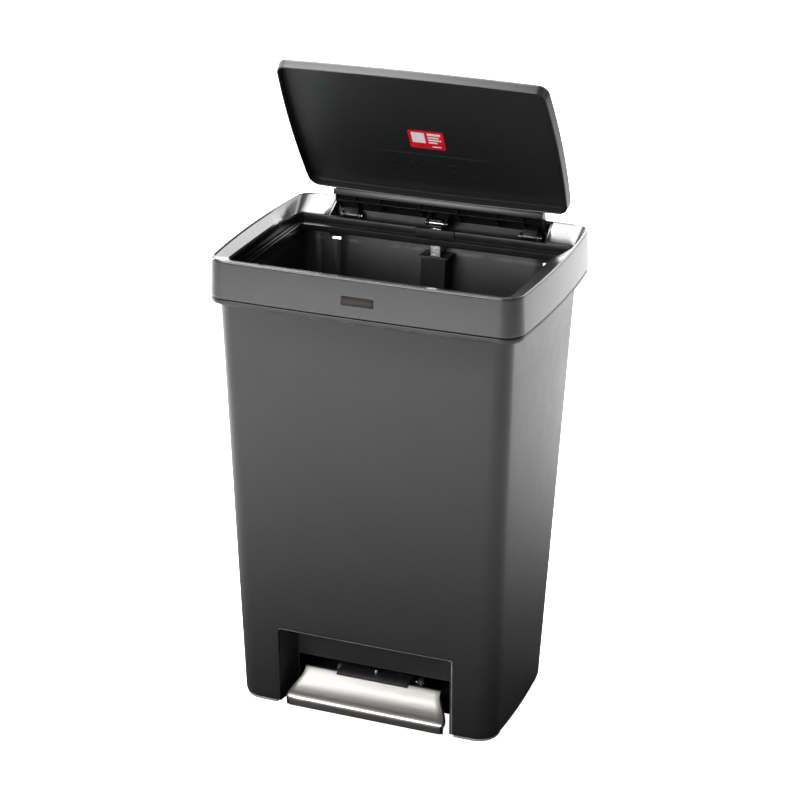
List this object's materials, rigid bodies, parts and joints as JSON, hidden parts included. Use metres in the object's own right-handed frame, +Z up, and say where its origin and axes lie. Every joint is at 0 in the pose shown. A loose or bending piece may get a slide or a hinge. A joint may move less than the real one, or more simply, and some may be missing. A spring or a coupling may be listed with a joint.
{
  "type": "pedal trash can",
  "caption": "Tall tapered step-on kitchen bin with a dished collar, a lid hinged at the rear and a pedal in a recess at the foot of the front.",
  "frame": {"origin": "centre of the bounding box's bottom face, on the floor under the feet", "axes": "+Z up, front (pedal side) towards -Y, +X to the bin's left-hand side seen from behind"},
  "size_m": [0.4242, 0.3148, 0.8367],
  "materials": {
    "shell_plastic": "satin charcoal",
    "collar_steel": "satin, brushed round the collar",
    "lid_plastic": "satin charcoal",
    "black_plastic": "black, half gloss",
    "stainless": "brushed along its length",
    "black_steel": "black powder coat",
    "zinc_steel": "bright zinc",
    "foot_rubber": "light grey pad",
    "plaque": "dark bronze, blank",
    "sticker": "red print, blank bars"
  },
  "bodies": {
    "bin": {"body_shell": "shell_plastic", "top_collar": "collar_steel", "inner_frame": "black_plastic", "badge_plate": "plaque", "liner_ring": "black_plastic", "bar_guide_cover": "black_plastic", "hinge_pin_left": "zinc_steel", "hinge_pin_right": "zinc_steel", "pedal_axle": "zinc_steel", "axle_bracket_left": "black_plastic", "axle_bracket_right": "black_plastic", "bar_channel": "shell_plastic", "bar_guide_bush": "black_plastic", "base_plate": "black_plastic", "base_screw_1": "zinc_steel", "base_screw_2": "zinc_steel", "base_screw_3": "zinc_steel", "base_screw_4": "zinc_steel", "foot_front_left": "foot_rubber", "foot_front_right": "foot_rubber", "foot_rear_left": "foot_rubber", "foot_rear_right": "foot_rubber"},
    "lid": {"lid_shell": "lid_plastic", "lid_hinge_web": "black_plastic", "crank_pin": "zinc_steel", "lid_label": "sticker"},
    "pedal": {"pedal_cover": "stainless", "pedal_core": "black_plastic", "pedal_lever": "black_steel", "pedal_screw": "zinc_steel"},
    "lift": {"lift_bar": "zinc_steel", "lift_bar_head": "black_plastic"}
  },
  "joints": [
    {"name": "lid_hinge", "type": "hinge", "parent": "bin", "child": "lid", "pos_m": [0, 0.1364, 0.5995], "axis": [1, 0, 0], "range_deg": [0, 58.8]},
    {"name": "pedal_pivot", "type": "hinge", "parent": "bin", "child": "pedal", "pos_m": [0, -0.07, 0.034], "axis": [1, 0, 0], "range_deg": [-18, 0]},
    {"name": "lift_slide", "type": "slide", "parent": "bin", "child": "lift", "axis": [0, 0.066, 0.9978], "range_m": [-0.01526, 0]}
  ],
  "couplings": [
    {"joint": "pedal_pivot", "follows": "lid_hinge", "ratio": -0.3061},
    {"joint": "lift_slide", "follows": "lid_hinge", "m_per_rad": -0.01486}
  ]
}
